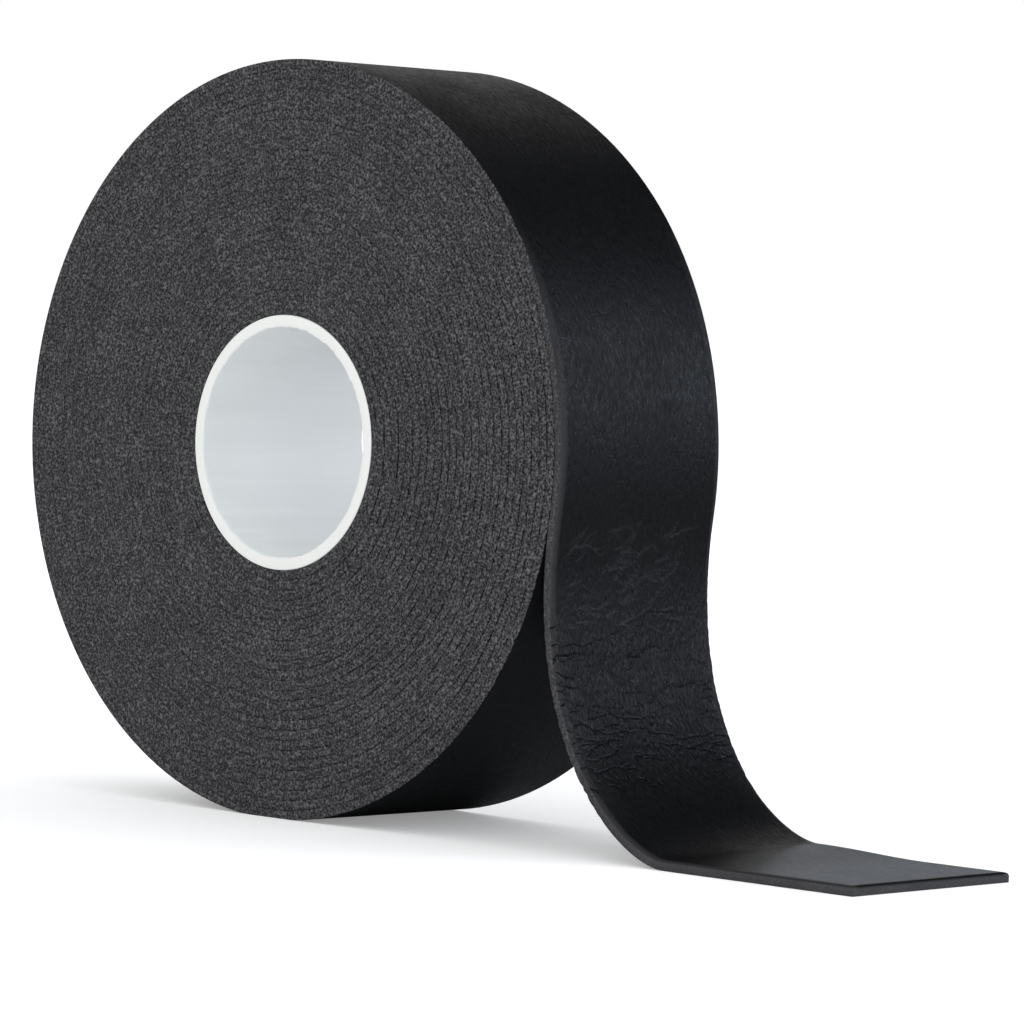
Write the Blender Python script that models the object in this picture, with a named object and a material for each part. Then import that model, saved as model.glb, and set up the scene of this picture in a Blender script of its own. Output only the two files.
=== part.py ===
"""A roll of black foam tape on a plain white core, standing on its rim with its free end laid out.

Metres, +Z up. The floor is Z = 0. The origin is on the floor under the roll's axis, midway
across the tape. The axis runs along Y, and the free end comes down in front, towards +X.
"""

import math

import bmesh
import bpy
from mathutils import Vector

# Driving dimensions of the tape
TAPE_WIDTH = 0.025
TAPE_THICKNESS = 0.0011
TURNS = 25.6

# Driving dimensions of the core
CORE_BORE_RADIUS = 0.0127
CORE_WALL = 0.00135
CORE_EDGE_EASE = 0.00015
CORE_CLEARANCE = 0.0003

# The tape's cut edges are slightly eased, which leaves a shallow groove between two turns
EDGE_EASE_WIDTH = 0.00014
EDGE_EASE_DEPTH = 0.0003

# The free end leaves the roll, drops, bends forward and lies flat
TAIL_LANDING = 0.0163
TAIL_FLAT_LENGTH = 0.0252
TAIL_DROP_PULL = 0.0243
TAIL_LANDING_PULL = 0.0062

# The soft rim is flat where it stands, and so is anything lower than the foam's give
FLAT_SPOT_WIDTH = 0.008
FLOOR_GIVE = 0.0001

# Fineness of the round shapes
STEPS_PER_TURN = 33
STEPS_FLOOR_TO_TAIL = 7.5
GROOVE_START_STEP = 11
TAIL_BEND_STEPS = 22
TAIL_FLAT_STEPS = 2
CORE_STEPS = 60
SMOOTH_ANGLE = math.radians(25)

# Colours are linear values
TAPE_COLOUR = (0.012, 0.013, 0.014, 1.0)
TAPE_ROUGHNESS = 0.6
CORE_COLOUR = (0.80, 0.82, 0.83, 1.0)
CORE_ROUGHNESS = 0.4

# Sizes that follow from the ones above
CORE_RADIUS = CORE_BORE_RADIUS + CORE_WALL
HOLE_RADIUS = CORE_RADIUS + CORE_CLEARANCE
STEP_ANGLE = 2 * math.pi / STEPS_PER_TURN
TAIL_STEP = round((TURNS - 1) * STEPS_PER_TURN)
RIM_END_STEP = TAIL_STEP + STEPS_PER_TURN
TAIL_ANGLE = -math.pi / 2 + STEPS_FLOOR_TO_TAIL * STEP_ANGLE
FRONT, BACK = -1, 1


def turn_radius(step):
    """Radius of the surface between one turn and the next, which grows by one thickness a turn."""
    return HOLE_RADIUS + TAPE_THICKNESS * step / STEPS_PER_TURN


def turn_angle(step):
    """Angle of a step, counted clockwise as the front shows it, with the tail at its own angle."""
    return TAIL_ANGLE - (step - TAIL_STEP) * STEP_ANGLE


RIM_RADIUS = turn_radius(RIM_END_STEP)
FLOOR_RADIUS = turn_radius(TAIL_STEP + STEPS_FLOOR_TO_TAIL)
AXIS_HEIGHT = math.sqrt(FLOOR_RADIUS ** 2 - (FLAT_SPOT_WIDTH / 2) ** 2)
AXIS = Vector((0, AXIS_HEIGHT))


def radial(angle):
    """Unit vector from the roll's axis, in the plane of X and Z."""
    return Vector((math.cos(angle), math.sin(angle)))


def wound_line():
    """Line between the turns from the core outwards, and then once round the rim.

    Each entry is a point and the direction that faces away from the axis there.
    """
    line = []
    for step in range(RIM_END_STEP + 1):
        outward = radial(turn_angle(step))
        line.append((AXIS + outward * turn_radius(step), outward))
    return line


def tail_middle():
    """Points and headings along the middle of the free end, after the point where it leaves."""
    leaving = radial(TAIL_ANGLE)
    start = AXIS + leaving * (RIM_RADIUS - TAPE_THICKNESS / 2)
    heading = Vector((leaving.y, -leaving.x))
    landing = Vector((RIM_RADIUS + TAIL_LANDING, TAPE_THICKNESS / 2))
    forward = Vector((1, 0))
    handles = (start, start + heading * TAIL_DROP_PULL, landing - forward * TAIL_LANDING_PULL, landing)
    middle = []
    for step in range(1, TAIL_BEND_STEPS + 1):
        middle.append(bend_point(handles, step / TAIL_BEND_STEPS))
    for step in range(1, TAIL_FLAT_STEPS + 1):
        middle.append((landing + forward * TAIL_FLAT_LENGTH * step / TAIL_FLAT_STEPS, forward))
    return middle


def bend_point(handles, share):
    """Point and heading on a smooth bend between four handles, at a share of its length."""
    a, b, c, d = handles
    rest = 1 - share
    point = a * rest ** 3 + b * 3 * rest ** 2 * share + c * 3 * rest * share ** 2 + d * share ** 3
    heading = (b - a) * rest ** 2 + (c - b) * 2 * rest * share + (d - c) * share ** 2
    return point, heading.normalized()


def tail_lines():
    """The free end's upper and lower lines, as points and the direction that faces up and out."""
    upper, lower = [], []
    for point, heading in tail_middle():
        outward = Vector((-heading.y, heading.x))
        upper.append((point + outward * TAPE_THICKNESS / 2, outward))
        lower.append((point - outward * TAPE_THICKNESS / 2, outward))
    return upper, lower


def add_vertex(mesh, flat_point, across):
    """A vertex from a point in the plane of X and Z, flattened onto the floor where it is low."""
    height = 0 if flat_point.y < FLOOR_GIVE else flat_point.y
    return mesh.verts.new((flat_point.x, across, height))


def root_row(mesh, line, side):
    """Vertices on the tape's surface, just inside its eased edge."""
    across = side * (TAPE_WIDTH / 2 - EDGE_EASE_DEPTH)
    return [add_vertex(mesh, point, across) for point, _ in line]


def lip_row(mesh, line, side, shift):
    """Vertices on the tape's cut edge, moved off the surface by the eased width."""
    across = side * TAPE_WIDTH / 2
    return [add_vertex(mesh, point + outward * shift, across) for point, outward in line]


def bridge(mesh, first, second):
    """Faces between two rows of vertices of one length, with triangles where the rows meet."""
    for i in range(len(first) - 1):
        corners = [first[i], first[i + 1], second[i + 1], second[i]]
        distinct = list(dict.fromkeys(corners))
        if len(distinct) > 2:
            mesh.faces.new(distinct)


def add_side(mesh, wound, upper, lower, side):
    """One cut side of the tape with its grooves, and the rows that cross to the other side."""
    start = GROOVE_START_STEP
    groove = wound[start + 1:TAIL_STEP + 1]
    skin = wound[TAIL_STEP + 1:] + upper
    tip = add_vertex(mesh, wound[start][0], side * TAPE_WIDTH / 2)

    inner_lip = [tip] + lip_row(mesh, groove, side, -EDGE_EASE_WIDTH)
    root = [tip] + root_row(mesh, groove, side)
    outer_lip = [tip] + lip_row(mesh, groove, side, EDGE_EASE_WIDTH)
    skin_lip = [inner_lip[-1]] + lip_row(mesh, skin, side, -EDGE_EASE_WIDTH)
    skin_root = [root[-1]] + root_row(mesh, skin, side)
    under_lip = [outer_lip[-1]] + lip_row(mesh, lower, side, EDGE_EASE_WIDTH)
    under_root = [root[-1]] + root_row(mesh, lower, side)

    hole = []
    for step in range(start, start + STEPS_PER_TURN):
        point = AXIS + radial(turn_angle(step)) * HOLE_RADIUS
        hole.append(add_vertex(mesh, point, side * TAPE_WIDTH / 2))

    bridge(mesh, inner_lip, root)
    bridge(mesh, root, outer_lip)
    bridge(mesh, skin_lip, skin_root)
    bridge(mesh, under_root, under_lip)

    outside = inner_lip + skin_lip[1:]
    bridge(mesh, hole, outside[:STEPS_PER_TURN])
    closing = outside[STEPS_PER_TURN - 1:STEPS_PER_TURN + 1]
    mesh.faces.new([hole[-1], closing[0], closing[1], tip, hole[0]])
    bridge(mesh, outer_lip + under_lip[1:], outside[STEPS_PER_TURN:])
    return hole + hole[:1], skin_root, under_root, [skin_root[-1], skin_lip[-1], under_lip[-1], under_root[-1]]


def build_tape():
    """The wound tape and its free end, as one closed body."""
    mesh = bmesh.new()
    wound = wound_line()
    upper, lower = tail_lines()
    front_rows = add_side(mesh, wound, upper, lower, FRONT)
    back_rows = add_side(mesh, wound, upper, lower, BACK)
    for front, back in zip(front_rows[:-1], back_rows[:-1]):
        bridge(mesh, front, back)
    mesh.faces.new(front_rows[-1] + back_rows[-1][::-1])
    return mesh


def build_core():
    """The tube that the tape is wound on, with eased edges, around its own middle."""
    mesh = bmesh.new()
    half = TAPE_WIDTH / 2
    ease = CORE_EDGE_EASE
    profile = [
        (CORE_BORE_RADIUS, half - ease), (CORE_BORE_RADIUS + ease, half),
        (CORE_RADIUS - ease, half), (CORE_RADIUS, half - ease),
        (CORE_RADIUS, ease - half), (CORE_RADIUS - ease, -half),
        (CORE_BORE_RADIUS + ease, -half), (CORE_BORE_RADIUS, ease - half),
    ]
    rings = []
    for radius, across in profile:
        ring = []
        for step in range(CORE_STEPS):
            point = radial(2 * math.pi * step / CORE_STEPS) * radius
            ring.append(mesh.verts.new((point.x, across, point.y)))
        rings.append(ring + ring[:1])
    for i, ring in enumerate(rings):
        bridge(mesh, ring, rings[(i + 1) % len(rings)])
    return mesh


def make_material(name, colour, roughness):
    """A plain finish that is not metal."""
    material = bpy.data.materials.new(name)
    material.use_nodes = True
    shader = material.node_tree.nodes["Principled BSDF"]
    shader.inputs["Base Color"].default_value = colour
    shader.inputs["Roughness"].default_value = roughness
    shader.inputs["Metallic"].default_value = 0.0
    return material


def add_object(name, mesh, material, location):
    """An object from a finished mesh, with its faces outwards and its round surfaces smooth."""
    bmesh.ops.recalc_face_normals(mesh, faces=mesh.faces)
    data = bpy.data.meshes.new(name)
    mesh.to_mesh(data)
    mesh.free()
    data.shade_smooth()
    data.set_sharp_from_angle(angle=SMOOTH_ANGLE)
    data.materials.append(material)
    piece = bpy.data.objects.new(name, data)
    piece.location = location
    bpy.context.scene.collection.objects.link(piece)
    return piece


def main():
    """Clear the scene and build both pieces."""
    for item in list(bpy.data.objects):
        bpy.data.objects.remove(item)
    foam = make_material("black_foam", TAPE_COLOUR, TAPE_ROUGHNESS)
    plastic = make_material("white_plastic", CORE_COLOUR, CORE_ROUGHNESS)
    add_object("foam_tape", build_tape(), foam, (0, 0, 0))
    add_object("core", build_core(), plastic, (0, 0, AXIS_HEIGHT))


main()
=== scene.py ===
"""Looks of a roll of black foam tape on a white core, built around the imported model.

Metres, +Z up. The roll stands on its rim, its axis along Y, and its free end lies towards +X.
The tape is modelled as it is made: a flat strip at its real length, which is then wound up.
"""

import logging
import math
import random
from dataclasses import dataclass, field
from enum import Enum
from typing import Any

import bpy
import numpy as np
from mathutils import Matrix, Vector, noise


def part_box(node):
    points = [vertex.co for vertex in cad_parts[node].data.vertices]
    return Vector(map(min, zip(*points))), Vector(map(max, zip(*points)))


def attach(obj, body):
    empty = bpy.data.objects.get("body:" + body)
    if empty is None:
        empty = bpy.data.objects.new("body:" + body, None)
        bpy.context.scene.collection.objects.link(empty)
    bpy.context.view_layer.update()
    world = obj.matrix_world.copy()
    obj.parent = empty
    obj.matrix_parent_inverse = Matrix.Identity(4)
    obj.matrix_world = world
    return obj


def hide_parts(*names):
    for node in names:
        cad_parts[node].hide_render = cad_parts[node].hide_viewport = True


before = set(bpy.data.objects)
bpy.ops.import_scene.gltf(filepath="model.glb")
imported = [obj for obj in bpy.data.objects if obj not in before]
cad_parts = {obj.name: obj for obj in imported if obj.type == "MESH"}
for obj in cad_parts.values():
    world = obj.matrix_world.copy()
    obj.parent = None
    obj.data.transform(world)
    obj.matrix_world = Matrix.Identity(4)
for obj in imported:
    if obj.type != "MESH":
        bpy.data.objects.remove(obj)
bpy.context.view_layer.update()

# Short names for types, and a millimetre in metres
Array = np.ndarray
Material = bpy.types.Material
Pair = tuple[float, float]
Socket = bpy.types.NodeSocket
Tree = bpy.types.NodeTree
MM = 0.001

TAPE_UV = "tape"

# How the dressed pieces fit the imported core, all close to its own sizes
CORE_WALL = 1.35 * MM
CORE_GROWTH = 0.04 * MM
FIRST_TURN_GAP = 0.07 * MM
CLEARANCE = 0.3 * MM
SIDE_PLAY = 0.01 * MM

log = logging.getLogger("foam_tape_roll")


class TapeFace(Enum):
    """Which finish a face of the tape has, as the index of its material slot."""

    SKIN = 0
    CUT = 1


class TapeMark(Enum):
    """What each vertex of the tape tells its finishes, from 0 to 1, by attribute name.

    A seam has painted shade next to another turn, a calm place has little grain (on the cut
    sides it also takes a lighter painted highlight), a rubbing mark is greyer, a painted
    highlight and sheen on the outer turn's edges and wear on the raised net, creases hold a
    nearly black painted shade, and a worked place is pebbled.
    """

    SEAM = "seam"
    CALM = "calm"
    RUBBED = "rub_and_highlight"
    CREASE = "crease"
    WORKED = "worked"


class Drift(Enum):
    """Slow chance along the tape: a wave length in millimetres, and a lane of the noise."""

    WANDER = (37.0, 0.5)
    RIPPLE = (1.9, 4.5)
    GAP = (16.0, 9.5)

    def along(self, distances: Array) -> Array:
        """Read the drift, from about -1 to 1, at distances in millimetres."""
        wave, lane = self.value
        return np.array([noise.noise(Vector((x / wave, lane, 0.0))) for x in distances])


def linear(hex_colour: str) -> tuple[float, ...]:
    """Turn an sRGB hex value into the linear colour that shaders take.

    Args:
        hex_colour: A colour such as "#3c3c3e".

    Returns:
        Red, green, blue and an opacity of 1.
    """
    bands = []
    for start in (1, 3, 5):
        share = int(hex_colour[start:start + 2], 16) / 255
        bands.append(share / 12.92 if share <= 0.04045 else ((share + 0.055) / 1.055) ** 2.4)
    return (*bands, 1.0)


def add_node(tree: Tree, kind: str, inputs: dict[Any, Any] | None = None,
             **settings: Any) -> bpy.types.Node:
    """Add a shader node with its settings, its constant values and its links.

    Args:
        tree: The node tree that the node goes into.
        kind: The node's type, without ShaderNode in front.
        inputs: Input names or numbers, each with a constant or with the socket to link from.
        **settings: Properties of the node itself.

    Returns:
        The new node.
    """
    node = tree.nodes.new("ShaderNode" + kind)
    for name, value in settings.items():
        setattr(node, name, value)
    for name, value in (inputs or {}).items():
        if isinstance(value, Socket):
            tree.links.new(value, node.inputs[name])
        else:
            node.inputs[name].default_value = value
    return node


def add_ramp(tree: Tree, factor: Socket, stops: list[tuple[float, tuple[float, ...]]]) -> Socket:
    """Add a colour ramp over a factor.

    Args:
        tree: The node tree that the ramp goes into.
        factor: The socket that drives it.
        stops: Positions from 0 to 1, each with its linear colour.

    Returns:
        The ramp's colour socket.
    """
    ramp = add_node(tree, "ValToRGB", {"Fac": factor})
    elements = ramp.color_ramp.elements
    while len(elements) < len(stops):
        elements.new(1.0)
    for element, (position, colour) in zip(elements, stops):
        element.position = position
        element.color = colour
    return ramp.outputs["Color"]


def add_blend(tree: Tree, factor: Socket, first: Any, second: Any) -> Socket:
    """Blend two colours, each a constant or a socket, by the second one's share."""
    return add_node(tree, "Mix", {"Factor": factor, 6: first, 7: second}, data_type="RGBA").outputs[2]


def add_range(tree: Tree, value: Socket, low: float, high: float, start: float = 0.0,
              end: float = 1.0) -> Socket:
    """Take a value from its low and high to a start and an end, clamped."""
    change = add_node(tree, "MapRange", {
        "Value": value, "From Min": low, "From Max": high, "To Min": start, "To Max": end})
    return change.outputs["Result"]


def add_sum(tree: Tree, operation: str, first: Any, second: Any) -> Socket:
    """Add one step of arithmetic, such as "MULTIPLY", on numbers or sockets."""
    return add_node(tree, "Math", {0: first, 1: second}, operation=operation).outputs[0]


def add_mark(tree: Tree, mark: TapeMark) -> Socket:
    """Read one of the tape's marks."""
    return add_node(tree, "Attribute", attribute_name=mark.value).outputs["Fac"]


def new_material(name: str) -> tuple[Material, Tree, bpy.types.Node]:
    """Make an empty node material with its shader.

    Args:
        name: The material's name.

    Returns:
        The material, its node tree and its Principled shader.
    """
    material = bpy.data.materials.new(name)
    material.use_nodes = True
    tree = material.node_tree
    return material, tree, tree.nodes["Principled BSDF"]


def read(items: Any, name: str, width: int, kind: type) -> Array:
    """Read a property of a mesh's vertices, edges, polygons or loops.

    Args:
        items: The vertices, edges, polygons or loops.
        name: The property's name.
        width: How many numbers it has.
        kind: Their type.

    Returns:
        One row for each item.
    """
    flat = np.empty(len(items) * width, dtype=kind)
    items.foreach_get(name, flat)
    return flat.reshape(-1, width)


@dataclass(frozen=True)
class CutFoamFinish:
    """Knife-cut closed-cell foam: a matte grey-black face of tiny opened cells.

    The knife opens the cells, so the eye sees a fine salt-and-pepper grain of lit walls and
    dark pits, greyer than the skin and with no sheen. Painted shade darkens the seams between
    the turns, broken so that it comes and goes. The outer turn's sides are painted lighter
    more and more towards the free end's tip, partly wear and partly a painted highlight on
    their rounded edge, and their grain is calmer there.
    """

    pit: str = "#0c0c0d"
    body: str = "#3a3a3c"
    wall: str = "#6a6a6d"
    # Lighter tone of the outer turn's cut sides: partly wear, partly a painted highlight on the rounded
    # edge
    rub_and_highlight: str = "#434346"
    cell: float = 0.27 * MM
    contrast: float = 1.6
    tone_stops: tuple[float, float, float] = (0.06, 0.36, 0.85)
    cloud: float = 5.0 * MM
    cloud_noise: Pair = (0.3, 0.7)
    cloud_tone: Pair = (0.9, 1.1)
    seam_reach: Pair = (0.8, 1.0)
    seam_break: float = 1.3 * MM
    seam_noise: Pair = (0.42, 0.62)
    seam_depth: float = 0.5
    calm_share: float = 0.85
    roughness: float = 0.85
    specular: float = 0.2
    bump: float = 0.05 * MM
    bump_strength: Pair = (0.7, 0.15)

    def build(self) -> Material:
        """Build the material.

        Returns:
            The finished material.
        """
        material, tree, shader = new_material("cut_closed_cell_foam")
        place = add_node(tree, "TexCoord").outputs["Object"]
        cells = add_node(tree, "TexVoronoi", {
            "Vector": place, "Scale": 1 / self.cell, "Randomness": 1.0})
        grain = add_node(tree, "TexNoise", {
            "Vector": place, "Scale": 1 / self.cell, "Detail": 2.0, "Roughness": 0.6})
        mixed = add_sum(tree, "MULTIPLY", cells.outputs["Distance"], grain.outputs["Fac"])
        lift = add_sum(tree, "MULTIPLY", mixed, self.contrast)
        # The seams' painted shade takes the grain's tone down and dents its bump
        sunk = add_sum(tree, "SUBTRACT", lift, self.add_seam(tree, place))
        tones = (linear(self.pit), linear(self.body), linear(self.wall))
        colour = add_ramp(tree, sunk, list(zip(self.tone_stops, tones)))
        # On the cut sides the calm mark blends in the lighter tone, partly a painted highlight
        calm = add_sum(tree, "MULTIPLY", add_mark(tree, TapeMark.CALM), self.calm_share)
        rub_and_highlight = add_blend(tree, calm, colour, linear(self.rub_and_highlight))
        cloud = add_node(tree, "TexNoise", {"Vector": place, "Scale": 1 / self.cloud, "Detail": 3.0})
        shade = add_range(tree, cloud.outputs["Fac"], *self.cloud_noise, *self.cloud_tone)
        clouded = add_node(tree, "VectorMath", {0: rub_and_highlight, 1: shade}, operation="MULTIPLY")
        strength = add_range(tree, calm, 0.0, 1.0, *self.bump_strength)
        relief = add_node(tree, "Bump", {"Height": sunk, "Distance": self.bump, "Strength": strength})
        tree.links.new(clouded.outputs[0], shader.inputs["Base Color"])
        tree.links.new(relief.outputs[0], shader.inputs["Normal"])
        shader.inputs["Roughness"].default_value = self.roughness
        shader.inputs["Specular IOR Level"].default_value = self.specular
        return material

    def add_seam(self, tree: Tree, place: Socket) -> Socket:
        """Add the shade of the seams, which is broken into dashes.

        Args:
            tree: The material's node tree.
            place: The socket with the place on the object.

        Returns:
            The socket with how far the seam takes the grain down.
        """
        close = add_range(tree, add_mark(tree, TapeMark.SEAM), *self.seam_reach)
        broken = add_node(tree, "TexNoise", {
            "Vector": place, "Scale": 1 / self.seam_break, "Detail": 4.0, "Roughness": 0.7})
        present = add_range(tree, broken.outputs["Fac"], *self.seam_noise, 0.0, self.seam_depth)
        return add_sum(tree, "MULTIPLY", close, present)


@dataclass(frozen=True)
class SkinFinish:
    """Calendered skin of foam tape: soft matte black with a fine leather-like grain.

    Rollers leave short grains that run along the tape, so a low light gives a soft grey sheen
    that breaks up into fine streaks. Where the tape was bent the skin turns pebbled, and thin
    creases in it are painted nearly black, a painted shade in their floors. The outer turn's
    edges are painted greyer, a painted highlight and sheen, and the raised net of wrinkles
    is worn lighter. Where it lies flat, and where it wasn't handled, it is calmer.
    """

    base: str = "#141518"
    # Greyer tone: a painted highlight and sheen along the edges, and wear on the raised net
    rub_and_highlight: str = "#37373b"
    # Nearly black painted shade in the floors of the creases
    crease: str = "#040405"
    grain_across: float = 0.42 * MM
    grain_along: float = 1.1 * MM
    pebbles_per_grain: float = 1.6
    pebble_share: Pair = (0.15, 0.9)
    cloud: float = 6.0 * MM
    cloud_share: float = 0.3
    roughness: float = 0.40
    gloss_noise: Pair = (0.50, 0.80)
    gloss_spread: float = 0.16
    bump: float = 0.12 * MM
    calm_grain: float = 0.25

    def build(self) -> Material:
        """Build the material.

        Returns:
            The finished material.
        """
        material, tree, shader = new_material("black_foam_skin")
        flat = add_node(tree, "UVMap", uv_map=TAPE_UV).outputs["UV"]
        stretched = add_node(tree, "Mapping", {
            "Vector": flat, "Scale": (1 / self.grain_along, 1 / self.grain_across, 1.0)})
        streaks = add_node(tree, "TexNoise", {
            "Vector": stretched.outputs[0], "Scale": 1.0, "Detail": 3.0, "Roughness": 0.7})
        pebbles = add_node(tree, "TexVoronoi", {
            "Vector": stretched.outputs[0], "Scale": self.pebbles_per_grain, "Randomness": 1.0},
            feature="SMOOTH_F1")
        cloud = add_node(tree, "TexNoise", {"Vector": flat, "Scale": 1 / self.cloud, "Detail": 3.0})
        # The skin turns greyer where marked: painted highlight and sheen along the edges, wear on the
        # net
        highlight_and_rub, crease_shade = add_mark(tree, TapeMark.RUBBED), add_mark(tree, TapeMark.CREASE)
        rub_and_highlight = add_blend(tree, highlight_and_rub, linear(self.base), linear(self.rub_and_highlight))
        # Creases are painted nearly black: a painted shade
        colour = add_blend(tree, crease_shade, rub_and_highlight, linear(self.crease))
        share = add_range(tree, add_mark(tree, TapeMark.WORKED), 0, 1, *self.pebble_share)
        pebbled = add_sum(tree, "MULTIPLY", pebbles.outputs["Distance"], share)
        clouded = add_sum(tree, "MULTIPLY", cloud.outputs["Fac"], self.cloud_share)
        worn = add_sum(tree, "ADD", streaks.outputs["Fac"], clouded)
        strength = add_range(tree, add_mark(tree, TapeMark.CALM), 0, 1, 1.0, self.calm_grain)
        swing = add_range(tree, worn, *self.gloss_noise, -self.gloss_spread, self.gloss_spread)
        rough = add_sum(tree, "ADD", add_sum(tree, "MULTIPLY", swing, strength), self.roughness)
        height = add_sum(tree, "ADD", streaks.outputs["Fac"], pebbled)
        relief = add_node(tree, "Bump", {"Height": height, "Distance": self.bump, "Strength": strength})
        tree.links.new(colour, shader.inputs["Base Color"])
        tree.links.new(rough, shader.inputs["Roughness"])
        tree.links.new(relief.outputs[0], shader.inputs["Normal"])
        return material


@dataclass(frozen=True)
class CorePlasticFinish:
    """Extruded white polyethylene tube: satin, saw-cut at its ends, with a painted shade inside: a
    slightly darker, cooler white.
    """

    colour: str = "#f1f3f0"
    # Darker, cooler white of the inside: a painted shade
    bore: str = "#e6e9ea"
    mouth: float = 0.05 * MM
    blend: float = 0.2 * MM
    roughness: float = 0.42

    def build(self, bore_radius: float, axis_height: float) -> Material:
        """Build the material.

        Args:
            bore_radius: Radius of the tube's inside, where the colour turns to the darker, cooler
                painted shade.
            axis_height: Height of the tube's axis above the floor.

        Returns:
            The finished material.
        """
        material, tree, shader = new_material("white_extruded_plastic")
        place = add_node(tree, "TexCoord").outputs["Object"]
        centred = add_node(tree, "Mapping", {"Vector": place, "Location": (0.0, 0.0, -axis_height)})
        flat = add_node(tree, "VectorMath", {
            0: centred.outputs[0], 1: (1.0, 0.0, 1.0)}, operation="MULTIPLY")
        radius = add_node(tree, "VectorMath", {0: flat.outputs[0]}, operation="LENGTH")
        mouth = bore_radius + self.mouth
        inside = add_range(tree, radius.outputs["Value"], mouth, mouth + self.blend, 1.0, 0.0)
        # Inside the bore, the white turns to its painted shade
        colour = add_blend(tree, inside, linear(self.colour), linear(self.bore))
        tree.links.new(colour, shader.inputs["Base Color"])
        shader.inputs["Roughness"].default_value = self.roughness
        return material


@dataclass(frozen=True)
class FloorFinish:
    """Plain matt white table, which keeps the roll's soft shadow.

    A small glow that only the camera sees takes it to the background's white. The skin's sheen
    mirrors it as darker than it shows, with a painted pool of light round the roll, and darkest
    past it.
    """

    colour: str = "#f4f5f6"
    near_gloss: str = "#66686a"
    far_gloss: str = "#3a3c3e"
    painted_light_pool: Pair = (0.08, 0.2)
    camera_lift: float = 0.25
    roughness: float = 0.9

    def build(self) -> Material:
        """Build the material.

        Returns:
            The finished material.
        """
        material, tree, shader = new_material("white_table")
        shader.inputs["Roughness"].default_value = self.roughness
        shader.inputs["Specular IOR Level"].default_value = 0.0
        rays = add_node(tree, "LightPath").outputs
        place = add_node(tree, "TexCoord").outputs["Object"]
        distance = add_node(tree, "VectorMath", {0: place}, operation="LENGTH").outputs["Value"]
        # Painted pool of light round the roll, which only reflections show
        far = add_range(tree, distance, *self.painted_light_pool)
        mirrored = add_blend(tree, far, linear(self.near_gloss), linear(self.far_gloss))
        tone = add_blend(tree, rays["Is Glossy Ray"], linear(self.colour), mirrored)
        tree.links.new(tone, shader.inputs["Base Color"])
        lift = add_sum(tree, "MULTIPLY", rays["Is Camera Ray"], self.camera_lift)
        glow = add_node(tree, "Emission", {"Color": linear("#ffffff"), "Strength": lift})
        both = add_node(tree, "AddShader", {0: shader.outputs[0], 1: glow.outputs[0]})
        tree.links.new(both.outputs[0], tree.nodes["Material Output"].inputs["Surface"])
        return material


@dataclass(frozen=True)
class TapePath:
    """The line that the tape follows, from the core, round the roll, and down to the floor."""

    core_radius: float
    hole_radius: float
    axis_height: float
    thickness: float = 1.1 * MM
    laid_turns: float = 24.606
    wedge_turns: float = 0.04
    tail_angle: float = math.radians(-8.18)
    landing: float = 16.3 * MM
    flat_length: float = 25.2 * MM
    drop_pull: float = 24.3 * MM
    landing_pull: float = 6.2 * MM
    samples_per_turn: int = 720
    tail_samples: int = 1500

    @property
    def rim_radius(self) -> float:
        """Radius of the outer turn where the free end leaves it."""
        return self.hole_radius + self.thickness * (self.laid_turns + 1)

    def wound(self) -> tuple[Array, Array]:
        """Work out the turns. The first one starts as a wedge that lies on the core.

        Returns:
            Points on the tape's inner side and on its outer side, as rows of X and Z.
        """
        count = round((self.laid_turns + 1) * self.samples_per_turn)
        turn = np.linspace(-1.0, self.laid_turns, count)
        angle = self.tail_angle + (self.laid_turns - turn) * 2 * math.pi
        outward = np.stack([np.cos(angle), np.sin(angle)], axis=1)
        axis = np.array([0.0, self.axis_height])
        spiral = self.hole_radius + self.thickness * turn
        inner = np.interp(turn, [-self.wedge_turns, 0.0], [0.0, 1.0])
        inner = self.core_radius + (np.maximum(spiral, self.hole_radius) - self.core_radius) * inner
        outer = spiral + self.thickness
        return axis + outward * inner[:, None], axis + outward * outer[:, None]

    def tail(self) -> tuple[Array, Array]:
        """Work out the free end, which drops, bends forward and lies flat.

        Returns:
            Points on its lower side and on its upper side, as rows of X and Z.
        """
        leaving = np.array([math.cos(self.tail_angle), math.sin(self.tail_angle)])
        heading = np.array([leaving[1], -leaving[0]])
        half = self.thickness / 2
        start = np.array([0.0, self.axis_height]) + leaving * (self.rim_radius - half)
        end = np.array([self.rim_radius + self.landing, half])
        forward = np.array([1.0, 0.0])
        a, b, c, d = start, start + heading * self.drop_pull, end - forward * self.landing_pull, end
        share = np.linspace(0.0, 1.0, self.tail_samples)[1:, None]
        rest = 1 - share
        bend = a * rest ** 3 + 3 * b * rest ** 2 * share + 3 * c * rest * share ** 2 + d * share ** 3
        slope = (b - a) * rest ** 2 + 2 * (c - b) * rest * share + (d - c) * share ** 2
        middle = np.vstack([bend, end + forward * self.flat_length])
        along = np.vstack([slope, forward])
        along /= np.linalg.norm(along, axis=1)[:, None]
        outward = np.stack([-along[:, 1], along[:, 0]], axis=1) * half
        return middle - outward, middle + outward

    def table(self) -> tuple[Array, Array, Array, float]:
        """Join the turns and the free end into one line with its length.

        Returns:
            Distances along the tape, the inner and the outer points, and the wound length.
        """
        wound_inner, wound_outer = self.wound()
        tail_inner, tail_outer = self.tail()
        inner = np.vstack([wound_inner, tail_inner])
        outer = np.vstack([wound_outer, tail_outer])
        steps = np.linalg.norm(np.diff((inner + outer) / 2, axis=0), axis=1)
        distance = np.concatenate([[0.0], np.cumsum(steps)])
        return distance, inner, outer, float(distance[len(wound_inner) - 1])


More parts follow.
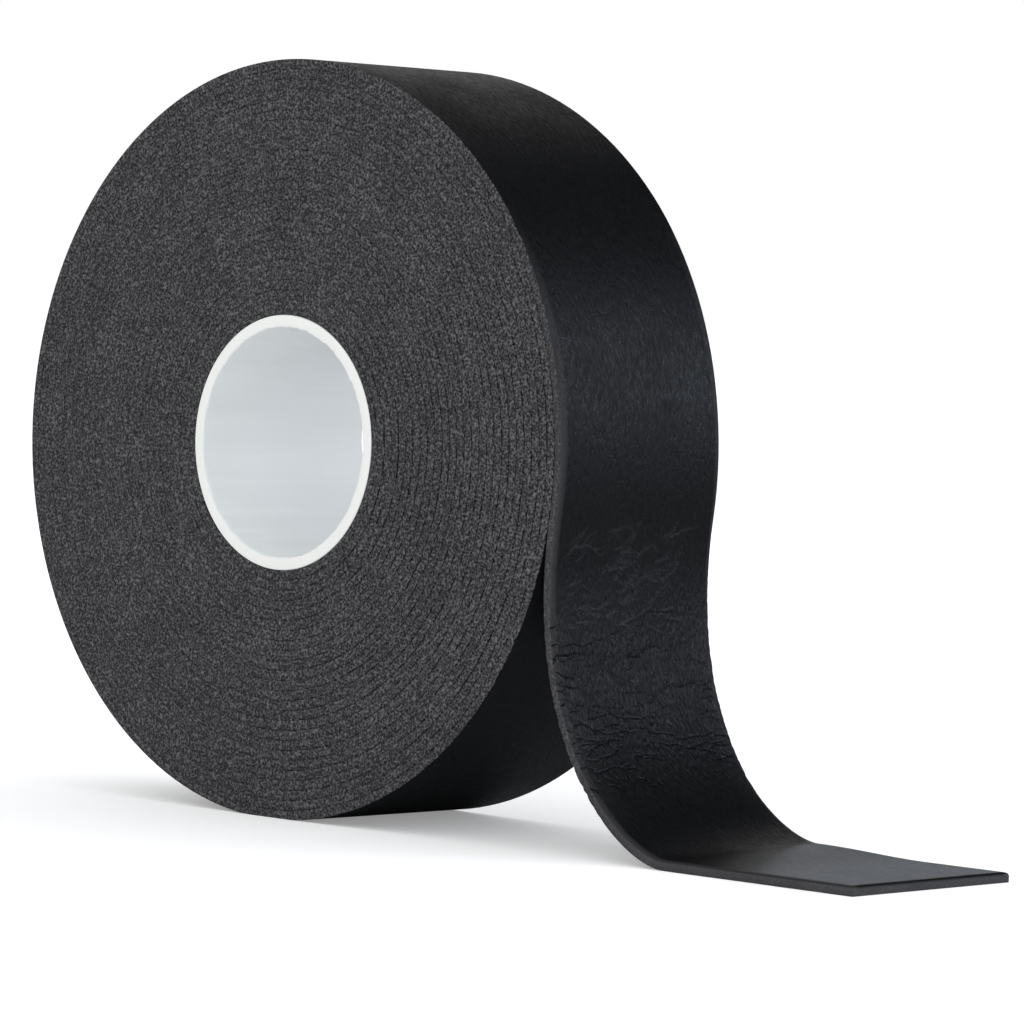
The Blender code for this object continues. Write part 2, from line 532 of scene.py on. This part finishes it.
@dataclass(frozen=True)
class CreaseLine:
    """One jagged line on the skin, with its depth at each point, all in millimetres."""

    points: Array
    depths: Array
    half_width: float

    def depth_at(self, places: Array) -> Array:
        """Work out how deep the line is at some places.

        Args:
            places: Rows of distance along the free end and distance from the front edge.

        Returns:
            One depth for each place.
        """
        deepest = np.zeros(len(places))
        reach = 3 * self.half_width
        low, high = self.points.min(axis=0) - reach, self.points.max(axis=0) + reach
        near = np.all((places > low) & (places < high), axis=1)
        spots = places[near]
        found = np.zeros(len(spots))
        for i in range(len(self.points) - 1):
            span = self.points[i + 1] - self.points[i]
            share = np.clip((spots - self.points[i]) @ span / (span @ span), 0, 1)
            distance = np.linalg.norm(spots - self.points[i] - share[:, None] * span, axis=1)
            depth = self.depths[i] + (self.depths[i + 1] - self.depths[i]) * share
            found = np.maximum(found, depth * np.exp(-(distance / self.half_width) ** 2))
        deepest[near] = found
        return deepest


@dataclass(frozen=True)
class CreaseFamily:
    """Creases of one kind, all sizes in millimetres: where they start and how they run.

    A heading of 0 runs straight to the back edge, and one of half a turn to the front edge.
    Forks leave a crease at an angle, and are shorter and shallower by their shares.
    """

    count: int
    along: Pair
    across: Pair
    reach: Pair
    depth: Pair
    half_width: float = 0.075
    heading: float = 0.0
    stray: float = 0.2
    jag: float = 0.11
    step: float = 0.6
    lean: float = 0.12
    steadiness: float = 0.9
    unevenness: Pair = (0.6, 1.0)
    fewest_steps: int = 3
    forks: int = 1
    fork_turn: Pair = (0.4, 1.2)
    fork_reach: Pair = (0.15, 0.4)
    fork_depth: float = 0.7

    def lines(self, chance: random.Random) -> list[CreaseLine]:
        """Draw all the lines of this kind, evenly spread along the tape and then shaken.

        Args:
            chance: The seeded source of chance.

        Returns:
            The lines.
        """
        drawn = []
        spacing = (self.along[1] - self.along[0]) / self.count
        for i in range(self.count):
            along = self.along[0] + spacing * (i + chance.random())
            start = np.array([along, chance.uniform(*self.across)])
            reach, depth = chance.uniform(*self.reach), chance.uniform(*self.depth)
            main = self.line(chance, start, self.heading + chance.gauss(0, self.lean), reach, depth)
            drawn.append(main)
            for _ in range(self.forks):
                joint = main.points[chance.randrange(1, len(main.points))]
                turn = self.heading + chance.choice((-1, 1)) * chance.uniform(*self.fork_turn)
                length = reach * chance.uniform(*self.fork_reach)
                drawn.append(self.line(chance, joint, turn, length, depth * self.fork_depth))
        return drawn

    def line(self, chance: random.Random, start: Array, heading: float, reach: float,
             depth: float) -> CreaseLine:
        """Walk one line, step by step, until its reach is used up.

        Args:
            chance: The seeded source of chance.
            start: Where it starts.
            heading: Which way it runs.
            reach: How long it gets.
            depth: How deep it is where it starts.

        Returns:
            The line, which fades out at its end.
        """
        points, turn = [start], heading
        for _ in range(max(self.fewest_steps, round(reach / self.step))):
            turn = heading + (turn - heading) * self.steadiness + chance.gauss(0, self.stray)
            jag = chance.gauss(0, self.jag)
            points.append(points[-1] + (self.step * math.sin(turn) + jag, self.step * math.cos(turn)))
        fade = 1 - np.linspace(0, 1, len(points)) ** 3
        uneven = np.array([chance.uniform(*self.unevenness) for _ in points])
        return CreaseLine(np.array(points), depth * fade * uneven, self.half_width)


@dataclass(frozen=True)
class Creases:
    """All creases of the free end, and the net of wrinkles where it leaves the roll."""

    seed: int = 11
    # Depth in millimetres at which the creases' painted shade is full
    full_tone: float = 0.05
    front_edge: CreaseFamily = CreaseFamily(
        count=18, along=(13.5, 29.5), across=(0.2, 1.8), reach=(2.5, 12.0), depth=(0.05, 0.14),
        heading=-0.03, half_width=0.065)
    nicks: CreaseFamily = CreaseFamily(
        count=14, along=(11.0, 31.0), across=(-0.2, 0.2), reach=(0.5, 2.2), depth=(0.04, 0.18),
        step=0.3, lean=0.4, forks=0)
    middle: CreaseFamily = CreaseFamily(
        count=24, along=(14.0, 29.0), across=(2.5, 17.0), reach=(4.0, 13.0), depth=(0.04, 0.12),
        heading=-0.1, half_width=0.065)
    back_edge: CreaseFamily = CreaseFamily(
        count=10, along=(15.0, 29.0), across=(23.5, 24.8), reach=(1.5, 6.0), depth=(0.05, 0.12),
        heading=math.pi + 0.08)
    net: CreaseFamily = CreaseFamily(
        count=56, along=(1.5, 12.0), across=(2.0, 20.0), reach=(1.5, 5.5), depth=(0.02, 0.05),
        heading=-0.3, half_width=0.08, jag=0.1, step=0.5)

    def relief(self, places: Array) -> tuple[Array, Array, Array]:
        """Work out the relief of the free end's skin.

        Args:
            places: Rows of distance along the free end and distance from the front edge, in metres.

        Returns:
            The change of height in metres, how dark the creases' painted shade is and how far
            the net is worn lighter, both from 0 to 1.
        """
        chance = random.Random(self.seed)
        spots = places / MM
        pressed, raised = np.zeros((2, len(spots)))
        for family in (self.front_edge, self.nicks, self.middle, self.back_edge):
            for line in family.lines(chance):
                pressed = np.maximum(pressed, line.depth_at(spots))
        for line in self.net.lines(chance):
            raised = np.maximum(raised, line.depth_at(spots))
        # How dark the creases' painted shade is, and how much lighter the worn net is
        dark, rub_and_highlight = (np.clip(part / self.full_tone, 0, 1) for part in (pressed, raised))
        return (raised - pressed) * MM, dark, rub_and_highlight


@dataclass(frozen=True)
class Stretch:
    """A run of the strip, up to a distance along the tape, with the spacing of its rows."""

    end: float
    row: float


@dataclass(frozen=True)
class Course:
    """A value along the tape, by distance in millimetres from where the tape leaves the roll."""

    distances: tuple[float, ...]
    values: tuple[float, ...]

    def at(self, along: Array) -> Array:
        """Read the value at distances in metres."""
        return np.interp(along / MM, self.distances, self.values)


@dataclass(frozen=True)
class Looseness:
    """How far the tape departs from a perfect strip.

    The turns stray sideways, part at their cut edges, and are torn where the bend has worked
    them. The seam's shade fades on the free end, whose back edge lifts a little where it lands.
    """

    play: float = 0.004 * MM
    edge: float = 0.045 * MM
    crown: float = 0.02 * MM
    stray: float = 0.035 * MM
    pinch: float = 0.035
    pinch_depth: float = 0.4 * MM
    gap_share: float = 2.0
    widest: float = 2.5
    loosest_angle: float = math.radians(-15)
    tight_share: float = 0.2
    seam_tone: Pair = (0.8, 0.2)
    seam_fade: float = 0.8
    fade_length: float = 6 * MM
    worked: Course = Course((5, 14, 30, 37), (0, 1, 1, 0))
    ragged: float = 0.09 * MM
    tear: float = 0.6 * MM
    torn_share: float = 0.3
    lift: float = 0.5 * MM
    lift_place: float = 43 * MM
    lift_reach: float = 15 * MM

    def parting(self, angle: Array) -> Array:
        """Work out how far the turns part, most where the free end was pulled off, up to 1."""
        pulled = (0.5 + 0.5 * np.cos(angle - self.loosest_angle)) ** 3
        return self.tight_share + (1 - self.tight_share) * pulled


@dataclass(frozen=True)
class Shoulder:
    """How the outer turn's long edges are worn round, which grows towards the free end.

    Their skin is painted greyer there, a painted highlight on the rounded edge, with a weak
    painted sheen further in where the bend worked the tape. The cut sides, within the rim, are
    calm where they were handled, where they also take a lighter painted highlight, and the skin
    is calm where it is smooth: flat on the floor, and less so far back on the roll.
    """

    width: float = 1.1 * MM
    free_width: float = 0.8 * MM
    drop: float = 0.34 * MM
    painted_sheen: float = 4.0 * MM
    painted_sheen_share: float = 0.25
    worked_share: float = 0.5
    lead: float = 34.0 * MM
    onset: float = 22.0 * MM
    tip: float = 0.5 * MM
    rim: float = 0.1 * MM
    handled: Course = Course((30, 42), (0.6, 1))
    smooth: Course = Course((-60, -35, 36, 46), (0.6, 0, 0, 1))


@dataclass
class FoamStrip:
    """A stretch of the tape, modelled flat and then wound onto its path."""

    name: str
    path: TapePath
    width: float
    start: float
    stretches: list[Stretch]
    loose: Looseness = Looseness()
    columns: int = 1
    shoulder: Shoulder | None = None
    creases: Creases | None = None
    piece: bpy.types.Object = field(init=False)

    @property
    def half(self) -> float:
        """Half the strip's thickness, with its play between the turns taken off."""
        return self.path.thickness / 2 - self.loose.play

    def row_distances(self) -> Array:
        """Work out where each row of the strip lies along the tape.

        Returns:
            Distances along the tape.
        """
        places = [self.start]
        for stretch in self.stretches:
            count = max(1, round((stretch.end - places[-1]) / stretch.row))
            places.extend(np.linspace(places[-1], stretch.end, count + 1)[1:])
        return np.array(places)

    def model_flat(self) -> None:
        """Model the flat strip, with its rows at their distances and its long edges eased."""
        places = self.row_distances()
        steps = len(places) - 1
        bpy.ops.object.select_all(action="DESELECT")
        bpy.ops.mesh.primitive_grid_add(x_subdivisions=steps, y_subdivisions=1, size=2)
        self.piece = bpy.context.active_object
        self.piece.name = self.piece.data.name = self.name
        bpy.ops.object.mode_set(mode="EDIT")
        bpy.ops.mesh.select_all(action="SELECT")
        bpy.ops.transform.resize(value=(steps / 2, self.width / 2, 1))
        bpy.ops.transform.translate(value=(steps / 2, 0, self.half))
        bpy.ops.mesh.extrude_region_move(TRANSFORM_OT_translate={"value": (0, 0, -2 * self.half)})
        bpy.ops.mesh.select_all(action="SELECT")
        bpy.ops.mesh.bisect(plane_co=(0, 0, 0), plane_no=(0, 0, 1))
        bpy.ops.object.mode_set(mode="OBJECT")
        corners = self.corners()
        corners[:, 0] = places[np.rint(corners[:, 0]).astype(int)]
        self.move_corners(corners)
        self.ease_edges()
        if self.columns > 1:
            self.divide_skin()

    def corners(self) -> Array:
        """Read the vertices: distance along, distance across from the middle, and height."""
        return read(self.piece.data.vertices, "co", 3, np.float32).astype(float)

    def move_corners(self, places: Array) -> None:
        """Write the strip's vertices back, from rows of X, Y and Z."""
        self.piece.data.vertices.foreach_set("co", places.astype(np.float32).ravel())
        self.piece.data.update()

    def edge_pairs(self) -> Array:
        """Read which two vertices each edge joins."""
        return read(self.piece.data.edges, "vertices", 2, np.int32)

    def select_edges(self, chosen: Array) -> None:
        """Leave only the chosen edges selected, ready for edit mode.

        Args:
            chosen: True for each edge that is wanted.
        """
        data = self.piece.data
        bpy.context.tool_settings.mesh_select_mode = (False, True, False)
        data.polygons.foreach_set("select", np.zeros(len(data.polygons), dtype=bool))
        touched = np.zeros(len(data.vertices), dtype=bool)
        touched[self.edge_pairs()[chosen].ravel()] = True
        data.vertices.foreach_set("select", touched)
        data.edges.foreach_set("select", chosen)

    def ease_edges(self) -> None:
        """Take the sharpness off the four long edges."""
        near = self.loose.edge / 10
        first, second = (self.corners()[ends] for ends in self.edge_pairs().T)
        at_skin = (abs(abs(first[:, 2]) - self.half) < near) & (abs(first[:, 2] - second[:, 2]) < near)
        lengthwise = abs(first[:, 1] - second[:, 1]) < near
        self.select_edges(at_skin & lengthwise)
        bpy.ops.object.mode_set(mode="EDIT")
        bpy.ops.mesh.bevel(offset=self.loose.edge, segments=1, affect="EDGES")
        bpy.ops.object.mode_set(mode="OBJECT")

    def divide_skin(self) -> None:
        """Divide the upper skin into columns, which are closest near its long edges."""
        near = self.loose.edge / 10
        first, second = (self.corners()[ends] for ends in self.edge_pairs().T)
        on_top = (abs(first[:, 2] - self.half) < near) & (abs(second[:, 2] - self.half) < near)
        crosswise = abs(first[:, 1] - second[:, 1]) > self.width / 2
        self.select_edges(on_top & crosswise)
        bpy.ops.object.mode_set(mode="EDIT")
        bpy.ops.mesh.subdivide(number_cuts=self.columns - 1)
        bpy.ops.object.mode_set(mode="OBJECT")
        corners = self.corners()
        skin = abs(corners[:, 2] - self.half) < near
        border = self.width / 2 - self.loose.edge
        share = np.clip(abs(corners[skin, 1]) / border, 0, 1)
        corners[skin, 1] = np.sign(corners[skin, 1]) * border * (1 - (1 - share) ** 1.5)
        self.move_corners(corners)

    def mark_faces(self) -> None:
        """Give the skin one material slot, and the cut sides and the cut end the other."""
        data = self.piece.data
        along, across, _ = read(data.polygons, "center", 3, np.float32).T
        end = self.stretches[-1].end - self.loose.edge / 10
        cut = (abs(across) > self.width / 2 - self.loose.edge) | (along > end)
        slots = np.where(cut, TapeFace.CUT.value, TapeFace.SKIN.value)
        data.polygons.foreach_set("material_index", slots.astype(np.int32))

    def lay_out_uv(self) -> None:
        """Keep each corner's place on the flat tape, in metres, as its UV."""
        data = self.piece.data
        while data.uv_layers:
            data.uv_layers.remove(data.uv_layers[0])
        layer = data.uv_layers.new(name=TAPE_UV)
        loops = read(data.loops, "vertex_index", 1, np.int32)[:, 0]
        flat = self.corners()[loops][:, :2].astype(np.float32)
        layer.data.foreach_set("uv", flat.ravel())

    def write_mark(self, mark: TapeMark, values: Array) -> None:
        """Keep one value from 0 to 1 for each vertex, for the finishes to read."""
        attribute = self.piece.data.attributes.new(mark.value, "FLOAT", "POINT")
        attribute.data.foreach_set("value", values.astype(np.float32))

    def press_creases(self, corners: Array, tail_start: float) -> tuple[Array, Array]:
        """Press the creases into the upper skin, and mark how dark they are.

        Args:
            corners: The strip's vertices, which are changed.
            tail_start: Where the free end leaves the roll.

        Returns:
            How far the raised net on the skin is worn lighter, and how far the bend has worked the
            tape, both from 0 to 1.
        """
        darkness, rub_and_highlight, worked = np.zeros((3, len(corners)))
        if self.creases:
            upper = np.nonzero((corners[:, 0] > tail_start) & (corners[:, 2] > 0))[0]
            places = corners[upper, :2] - (tail_start, -self.width / 2)
            # The creases' painted shade is marked where they are pressed
            change, darkness[upper], rub_and_highlight[upper] = self.creases.relief(places)
            share = (corners[upper, 2] + self.half) / (2 * self.half)
            corners[upper, 2] += change * share
            worked = self.loose.worked.at(corners[:, 0] - tail_start)
        self.write_mark(TapeMark.CREASE, darkness)
        self.write_mark(TapeMark.WORKED, worked)
        return rub_and_highlight, worked

    def round_shoulders(self, corners: Array, tail_start: float, net: Array,
                        worked: Array) -> None:
        """Round the upper skin off towards both long edges and the tip, and mark its painted highlight
        and wear.

        Args:
            corners: The strip's vertices, which are changed.
            tail_start: Where the free end leaves the roll.
            net: How far the raised net on the skin is rubbed, from 0 to 1.
            worked: How far the bend has worked the tape, from 0 to 1.
        """
        calm, rub_and_highlight = np.zeros((2, len(corners)))
        if self.shoulder:
            form = self.shoulder
            along = corners[:, 0] - tail_start
            grown = np.clip((along + form.lead) / form.onset, 0, 1)
            loose = np.clip(along / form.onset + 1, 0, 1)
            inward = self.width / 2 - abs(corners[:, 1])
            side = 1 - np.clip(inward / (form.width + (form.free_width - form.width) * loose), 0, 1)
            tip = 1 - np.clip((self.stretches[-1].end - corners[:, 0]) / form.tip, 0, 1)
            outward = np.maximum(side, tip)
            drop = form.drop * (1 - np.sqrt(1 - outward ** 2))
            corners[:, 2] -= grown * drop * np.clip(corners[:, 2] / self.half, 0, 1)
            # A weak painted sheen some millimetres in from the edges, where the bend worked the tape
            painted_sheen = form.painted_sheen_share * worked * (1 - np.clip(inward / form.painted_sheen, 0, 1))
            calm = np.where(inward < form.rim, grown * form.handled.at(along), form.smooth.at(along))
            # Painted highlight along the rounded shoulders, with the painted sheen and the worn net
            rub_and_highlight = grown * np.sqrt(side) * (1 - form.worked_share * worked) + painted_sheen + net
        self.write_mark(TapeMark.CALM, calm)
        self.write_mark(TapeMark.RUBBED, np.clip(rub_and_highlight, 0, 1))

    def loosen(self, corners: Array, parting: Array, worked: Array) -> None:
        """Let the turns stray sideways and part at their cut edges, and tear the worked edges.

        Args:
            corners: The strip's vertices, which are changed.
            parting: How far the turns part at each vertex.
            worked: How far the bend has worked the tape, from 0 to 1.
        """
        loose = self.loose
        distances, row = np.unique(np.round(corners[:, 0] / MM, 3), return_inverse=True)
        wander, ripple, gap = (drift.along(distances)[row] for drift in Drift)
        inward = self.width / 2 - abs(corners[:, 1])
        side = np.clip(1 - inward / loose.pinch_depth, 0, 1)
        middle = 1 - abs(corners[:, 2]) / self.half
        corners[:, 1] += wander * loose.stray + np.sign(corners[:, 1]) * side * middle * loose.crown
        opened = np.clip(loose.gap_share * gap + ripple, 0, loose.widest)
        corners[:, 2] *= 1 - side * loose.pinch * parting * opened
        torn = np.nonzero(side * worked > 0)[0]
        bites = np.array([noise.noise(Vector(corners[i]) / loose.tear) for i in torn])
        bitten = loose.ragged * (side * worked)[torn] * np.clip(bites + loose.torn_share, 0, 1)
        corners[torn, 1] -= np.sign(corners[torn, 1]) * bitten
        corners[torn, 2] -= np.sign(corners[torn, 2]) * bitten

    def wind(self) -> None:
        """Mark, press and loosen the flat strip, and wind it onto its path.

        The foam gives where it meets the floor, and the back edge lifts where the tape lands.
        """
        loose = self.loose
        distance, inner, outer, wound_length = self.path.table()
        corners = self.corners()
        near, far = (np.stack([np.interp(corners[:, 0], distance, line[:, i]) for i in (0, 1)], axis=1)
                     for line in (inner, outer))
        parting = loose.parting(np.arctan2(near[:, 1] - self.path.axis_height, near[:, 0]))
        # Painted shade of the seams between turns: darkest at the skins and where the turns part, faded
        # on the free end
        buried = 1 - loose.seam_fade * np.clip((corners[:, 0] - wound_length) / loose.fade_length, 0, 1)
        seam = abs(corners[:, 2]) / self.half * (loose.seam_tone[0] + loose.seam_tone[1] * parting)
        self.write_mark(TapeMark.SEAM, seam * buried)
        net, worked = self.press_creases(corners, wound_length)
        self.round_shoulders(corners, wound_length, net, worked)
        self.loosen(corners, parting, worked)
        share = (corners[:, 2] / self.path.thickness + 0.5)[:, None]
        flat = near + (far - near) * share
        landing = np.clip(abs(corners[:, 0] - wound_length - loose.lift_place) / loose.lift_reach, 0, 1)
        lifted = loose.lift * (0.5 + 0.5 * np.cos(math.pi * landing))
        height = np.maximum(flat[:, 1] + lifted * (corners[:, 1] / self.width + 0.5), 0.0)
        wound = np.stack([flat[:, 0], corners[:, 1], height], axis=1)
        self.move_corners(wound)

    def build(self, finishes: dict[TapeFace, Material]) -> None:
        """Model, wind and dress the strip.

        Args:
            finishes: The material of each kind of face.
        """
        self.model_flat()
        self.mark_faces()
        self.lay_out_uv()
        self.wind()
        bpy.ops.object.mode_set(mode="EDIT")
        bpy.ops.mesh.select_all(action="SELECT")
        bpy.ops.mesh.normals_make_consistent(inside=False)
        bpy.ops.object.mode_set(mode="OBJECT")
        bpy.ops.object.shade_smooth_by_angle(angle=math.radians(60))
        for face in TapeFace:
            self.piece.data.materials.append(finishes[face])
        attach(self.piece, "root")
        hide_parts("foam_tape")
        log.info("%s: %d faces", self.name, len(self.piece.data.polygons))


@dataclass
class FoamTape:
    """The whole tape: the wound turns, and the outer turn with its free end."""

    path: TapePath
    width: float
    overlap: float = 12 * MM
    net_end: float = 10 * MM
    crease_end: float = 30 * MM
    bend_end: float = 46 * MM
    tip_length: float = 0.6 * MM
    turn_row: float = 0.8 * MM
    rim_row: float = 1.6 * MM
    net_row: float = 0.13 * MM
    crease_row: float = 0.085 * MM
    bend_row: float = 0.5 * MM
    flat_row: float = 1.0 * MM
    tip_row: float = 0.1 * MM
    skin_columns: int = 108

    def build(self) -> None:
        """Build both stretches of the tape."""
        distance, _, _, wound_length = self.path.table()
        finishes = {TapeFace.SKIN: SkinFinish().build(), TapeFace.CUT: CutFoamFinish().build()}
        last_turn = 2 * math.pi * (self.path.rim_radius - self.path.thickness)
        seam = wound_length - last_turn - self.overlap
        turns = FoamStrip("wound_turns", self.path, self.width, 0.0, [Stretch(seam, self.turn_row)])
        turns.build(finishes)
        stretches = [
            Stretch(wound_length, self.rim_row),
            Stretch(wound_length + self.net_end, self.net_row),
            Stretch(wound_length + self.crease_end, self.crease_row),
            Stretch(wound_length + self.bend_end, self.bend_row),
            Stretch(float(distance[-1]) - self.tip_length, self.flat_row),
            Stretch(float(distance[-1]), self.tip_row),
        ]
        outer = FoamStrip("outer_turn_and_free_end", self.path, self.width, seam, stretches,
                          columns=self.skin_columns, shoulder=Shoulder(), creases=Creases())
        outer.build(finishes)


@dataclass
class Core:
    """The plain plastic tube inside the roll."""

    bore_radius: float
    wall: float
    length: float
    axis_height: float
    edge: float = 0.15 * MM
    sides: int = 384
    nick: float = 0.13 * MM
    fine_nick: float = 0.5 * MM
    broad_nick: float = 2 * MM
    deepest_nick: float = -0.6
    mouth_edges: int = 2
    cut_edges: int = 4

    def build(self) -> None:
        """Model and dress the tube."""
        bpy.ops.object.select_all(action="DESELECT")
        bpy.ops.mesh.primitive_cylinder_add(
            vertices=self.sides, radius=self.bore_radius, depth=self.length,
            end_fill_type="NOTHING", location=(0, 0, self.axis_height), rotation=(math.pi / 2, 0, 0))
        piece = bpy.context.active_object
        piece.name = piece.data.name = "core_tube"
        bpy.ops.object.transform_apply(location=True, rotation=True, scale=True)
        wall = piece.modifiers.new("wall", "SOLIDIFY")
        wall.thickness = self.wall
        wall.offset = 1.0
        wall.use_even_offset = True
        bpy.ops.object.modifier_apply(modifier=wall.name)
        eased = piece.modifiers.new("eased", "BEVEL")
        eased.width = self.edge
        eased.segments = 3
        eased.limit_method = "ANGLE"
        bpy.ops.object.modifier_apply(modifier=eased.name)
        self.divide_near_mouths()
        self.roughen_mouth(piece)
        bpy.ops.object.shade_smooth_by_angle(angle=math.radians(35))
        piece.data.materials.append(CorePlasticFinish().build(self.bore_radius, self.axis_height))
        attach(piece, "root")
        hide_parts("core")
        log.info("%s: %d faces", piece.name, len(piece.data.polygons))

    def divide_near_mouths(self) -> None:
        """Cut the tube's walls near both ends, so that the nicks don't shade their whole length."""
        bpy.ops.object.mode_set(mode="EDIT")
        for side in (-1, 1):
            bpy.ops.mesh.select_all(action="SELECT")
            cut = (0, side * (self.length / 2 - self.cut_edges * self.edge), 0)
            bpy.ops.mesh.bisect(plane_co=cut, plane_no=(0, 1, 0))
        bpy.ops.object.mode_set(mode="OBJECT")

    def roughen_mouth(self, piece: bpy.types.Object) -> None:
        """Leave the saw's small nicks and burrs round both mouths of the bore.

        Args:
            piece: The tube.
        """
        reach = self.mouth_edges * self.edge
        for vertex in piece.data.vertices:
            place = vertex.co
            radius = math.hypot(place.x, place.z - self.axis_height)
            if abs(place.y) > self.length / 2 - reach and radius < self.bore_radius + reach:
                ragged = noise.noise(place / self.fine_nick) + noise.noise(place / self.broad_nick)
                grow = 1 + max(ragged, self.deepest_nick) * self.nick / radius
                vertex.co.x = place.x * grow
                vertex.co.z = self.axis_height + (place.z - self.axis_height) * grow


@dataclass(frozen=True)
class Lamp:
    """A soft lamp outside the picture, aimed at the roll."""

    name: str
    direction: tuple[float, float, float]
    distance: float
    size: Pair
    radiance: float
    colour: str = "#ffffff"

    def build(self, aim: Vector) -> None:
        """Hang the lamp and turn it to the roll.

        Args:
            aim: The point that it faces.
        """
        data = bpy.data.lights.new(self.name, "AREA")
        data.shape = "RECTANGLE"
        data.size, data.size_y = self.size
        data.energy = self.radiance * math.pi * self.size[0] * self.size[1]
        data.color = linear(self.colour)[:3]
        lamp = bpy.data.objects.new(self.name, data)
        towards = Vector(self.direction).normalized()
        lamp.location = aim + towards * self.distance
        lamp.rotation_euler = towards.to_track_quat("Z", "Y").to_euler()
        lamp.visible_camera = False
        bpy.context.scene.collection.objects.link(lamp)


@dataclass(frozen=True)
class Studio:
    """The white table, the soft light and the camera.

    One soft panel in front and four behind give the skin its sheen.
    """

    rim_radius: float
    front: float
    floor_size: float = 40.0
    world_light: float = 0.95
    key_direction: tuple[float, float, float] = (0.25, -0.85, 0.50)
    key_strength: float = 0.25
    key_angle: float = math.radians(50)
    azimuth: float = math.radians(-43.78)
    elevation: float = math.radians(-2.310)
    roll: float = math.radians(1.962)
    distance_radii: float = 12.605
    aim_radii: Pair = (0.8361, 0.8391)
    focal_pixels: float = 5082.0
    picture_pixels: int = 1024
    panels: tuple[Lamp, ...] = (
        Lamp("front_panel", (0.80, -0.60, 0.00), 0.24, (0.15, 0.07), 1.5),
        Lamp("side_panel", (0.67, 0.69, 0.30), 0.8, (0.25, 0.43), 2.2, "#e4efff"),
        Lamp("low_panel", (-0.70, 0.71, 0.06), 0.8, (0.7, 0.12), 1.42, "#e8f1ff"),
        Lamp("back_panel", (-0.62, 0.70, 0.30), 0.8, (0.5, 0.15), 0.65),
        Lamp("top_panel", (-0.45, 0.65, 0.60), 0.30, (0.1, 0.1), 0.19),
    )

    def build(self) -> None:
        """Set out the whole studio."""
        self.build_floor()
        self.build_world()
        self.build_lamps()
        self.build_camera()
        bpy.context.scene.view_settings.view_transform = "Standard"

    def build_floor(self) -> None:
        """Lay the table that the roll stands on."""
        bpy.ops.object.select_all(action="DESELECT")
        bpy.ops.mesh.primitive_plane_add(size=self.floor_size)
        floor = bpy.context.active_object
        floor.name = "table"
        floor.data.materials.append(FloorFinish().build())

    def build_world(self) -> None:
        """Make the background white to the camera, and an even light on all but the sheen."""
        world = bpy.data.worlds.new("studio")
        bpy.context.scene.world = world
        world.cycles_visibility.glossy = False
        world.use_nodes = True
        tree = world.node_tree
        camera = add_node(tree, "LightPath").outputs["Is Camera Ray"]
        background = tree.nodes["Background"]
        background.inputs["Color"].default_value = linear("#ffffff")
        strength = add_range(tree, camera, 0.0, 1.0, self.world_light, 1.0)
        tree.links.new(strength, background.inputs["Strength"])

    def build_lamps(self) -> None:
        """Hang a broad key lamp in front, and the soft panels round the roll."""
        data = bpy.data.lights.new("key", "SUN")
        data.energy = self.key_strength
        data.angle = self.key_angle
        key = bpy.data.objects.new("key", data)
        key.rotation_euler = Vector(self.key_direction).normalized().to_track_quat("Z", "Y").to_euler()
        bpy.context.scene.collection.objects.link(key)
        aim = Vector((self.rim_radius, 0.0, self.rim_radius))
        for lamp in self.panels:
            lamp.build(aim)

    def build_camera(self) -> None:
        """Place the camera where the photograph was taken from."""
        data = bpy.data.cameras.new("camera")
        data.sensor_width = 36.0
        data.lens = self.focal_pixels / self.picture_pixels * data.sensor_width
        camera = bpy.data.objects.new("camera", data)
        look = Vector((
            math.sin(self.azimuth) * math.cos(self.elevation),
            math.cos(self.azimuth) * math.cos(self.elevation),
            math.sin(self.elevation)))
        right, up = (radii * self.rim_radius for radii in self.aim_radii)
        aim = Vector((right, self.front, up))
        camera.location = aim - look * self.distance_radii * self.rim_radius
        upright = look.to_track_quat("-Z", "Y")
        camera.rotation_mode = "QUATERNION"
        camera.rotation_quaternion = upright @ Matrix.Rotation(self.roll, 4, "Z").to_quaternion()
        data.clip_start = 0.01
        data.clip_end = 100.0
        bpy.context.scene.collection.objects.link(camera)
        bpy.context.scene.camera = camera


def write_sizes() -> None:
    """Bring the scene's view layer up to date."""
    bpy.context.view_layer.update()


def main() -> None:
    """Build the core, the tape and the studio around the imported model."""
    logging.basicConfig(level=logging.INFO, format="%(name)s: %(message)s")
    core_low, core_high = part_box("core")
    tape_low, tape_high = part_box("foam_tape")
    core_radius = (core_high[0] - core_low[0]) / 2
    axis_height = (core_high[2] + core_low[2]) / 2
    path = TapePath(core_radius + FIRST_TURN_GAP, core_radius + CLEARANCE, axis_height)
    width = tape_high[1] - tape_low[1] - 2 * SIDE_PLAY
    FoamTape(path, width).build()
    length = core_high[1] - core_low[1]
    Core(core_radius - CORE_WALL, CORE_WALL + CORE_GROWTH, length, axis_height).build()
    Studio(rim_radius=path.rim_radius, front=tape_low[1]).build()
    write_sizes()


if __name__ == "__main__":
    main()
